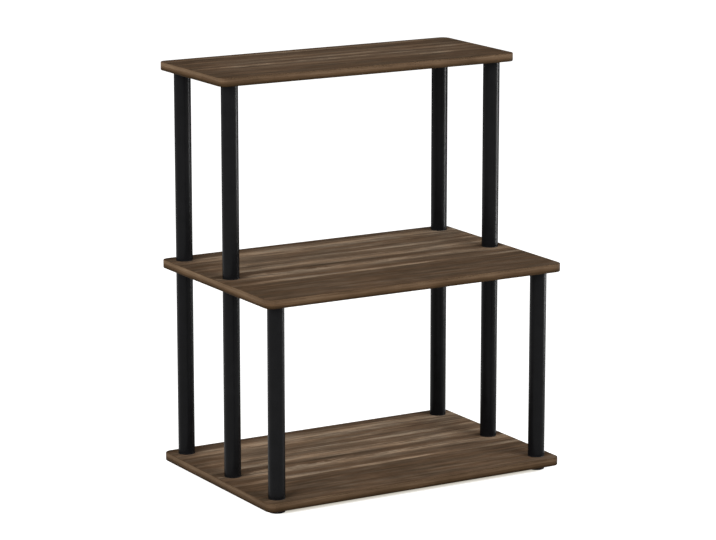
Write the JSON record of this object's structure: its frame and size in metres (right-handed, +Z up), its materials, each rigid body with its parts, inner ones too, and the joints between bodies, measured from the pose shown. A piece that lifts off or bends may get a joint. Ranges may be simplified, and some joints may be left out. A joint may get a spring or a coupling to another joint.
{
  "type": "shelving unit",
  "caption": "Free-standing shelving unit: two deep boards and a shallow top board flush at the rear, on round tubes that screw together through the boards.",
  "frame": {"origin": "on the floor, under the middle of the two deep boards", "axes": "+Z up, +X along the boards to the right as seen from the front, -Y towards the front, where the lower boards stand out past the top board"},
  "size_m": [0.6, 0.4, 0.739],
  "materials": {
    "board_laminate": "satin printed walnut laminate on particle board, grain along the width",
    "edge_band": "satin printed walnut edge band",
    "tube_plastic": "black extruded plastic, satin",
    "foot_plastic": "black moulded plastic, satin",
    "fitting_plastic": "black moulded plastic, satin"
  },
  "bodies": {
    "root": {"bottom_board": "board_laminate", "bottom_edge_band": "edge_band", "foot_front_left": "foot_plastic", "foot_front_right": "foot_plastic", "foot_middle_left": "foot_plastic", "foot_middle_right": "foot_plastic", "foot_rear_left": "foot_plastic", "foot_rear_right": "foot_plastic", "joining_stud_middle_left": "fitting_plastic", "joining_stud_middle_right": "fitting_plastic", "joining_stud_rear_left": "fitting_plastic", "joining_stud_rear_right": "fitting_plastic", "lower_front_left_bottom_plug": "fitting_plastic", "lower_front_left_top_plug": "fitting_plastic", "lower_front_left_tube": "tube_plastic", "lower_front_right_bottom_plug": "fitting_plastic", "lower_front_right_top_plug": "fitting_plastic", "lower_front_right_tube": "tube_plastic", "lower_middle_left_bottom_plug": "fitting_plastic", "lower_middle_left_top_plug": "fitting_plastic", "lower_middle_left_tube": "tube_plastic", "lower_middle_right_bottom_plug": "fitting_plastic", "lower_middle_right_top_plug": "fitting_plastic", "lower_middle_right_tube": "tube_plastic", "lower_rear_left_bottom_plug": "fitting_plastic", "lower_rear_left_top_plug": "fitting_plastic", "lower_rear_left_tube": "tube_plastic", "lower_rear_right_bottom_plug": "fitting_plastic", "lower_rear_right_top_plug": "fitting_plastic", "lower_rear_right_tube": "tube_plastic", "middle_board": "board_laminate", "middle_edge_band": "edge_band", "middle_screw_peg_front_left": "fitting_plastic", "middle_screw_peg_front_right": "fitting_plastic", "top_board": "board_laminate", "top_edge_band": "edge_band", "top_screw_peg_middle_left": "fitting_plastic", "top_screw_peg_middle_right": "fitting_plastic", "top_screw_peg_rear_left": "fitting_plastic", "top_screw_peg_rear_right": "fitting_plastic", "upper_middle_left_bottom_plug": "fitting_plastic", "upper_middle_left_top_plug": "fitting_plastic", "upper_middle_left_tube": "tube_plastic", "upper_middle_right_bottom_plug": "fitting_plastic", "upper_middle_right_top_plug": "fitting_plastic", "upper_middle_right_tube": "tube_plastic", "upper_rear_left_bottom_plug": "fitting_plastic", "upper_rear_left_top_plug": "fitting_plastic", "upper_rear_left_tube": "tube_plastic", "upper_rear_right_bottom_plug": "fitting_plastic", "upper_rear_right_top_plug": "fitting_plastic", "upper_rear_right_tube": "tube_plastic"}
  },
  "joints": []
}
